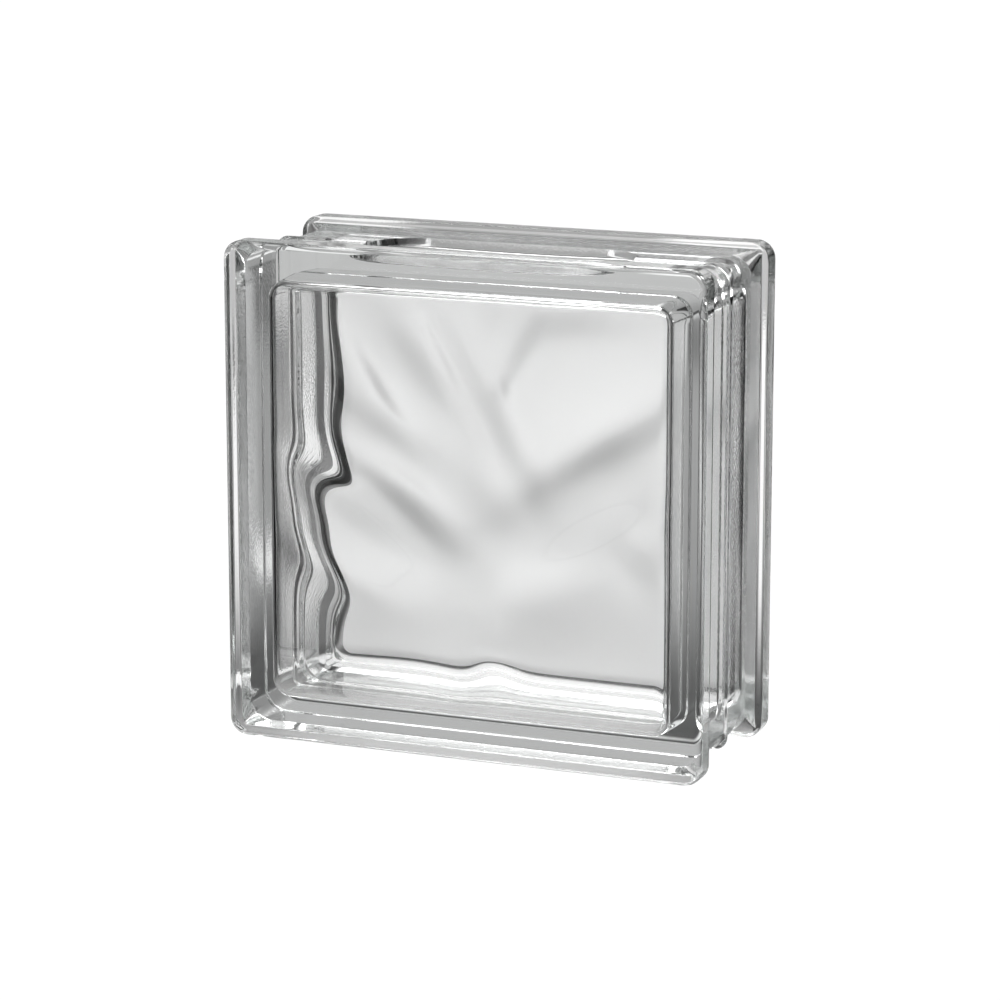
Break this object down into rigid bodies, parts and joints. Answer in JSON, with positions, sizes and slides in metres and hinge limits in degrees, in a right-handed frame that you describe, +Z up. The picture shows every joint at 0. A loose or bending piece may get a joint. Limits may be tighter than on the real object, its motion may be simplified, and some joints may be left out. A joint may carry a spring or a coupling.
{
  "type": "glass block",
  "caption": "Hollow square glass block with flanged rims, a mortar channel round its edge, wavy inner faces and a satin rear pane, for laying translucent walls.",
  "frame": {"origin": "middle of the footprint, on the plane of the two lower flange lands", "axes": "+X across the face, +Y through the depth from the clear pane to the satin pane, +Z up"},
  "size_m": [0.19, 0.08, 0.19],
  "materials": {
    "clear_glass": "clear pressed glass, satin on the inside of the rear pane"
  },
  "bodies": {
    "root": {"glass_block": "clear_glass"}
  },
  "joints": []
}
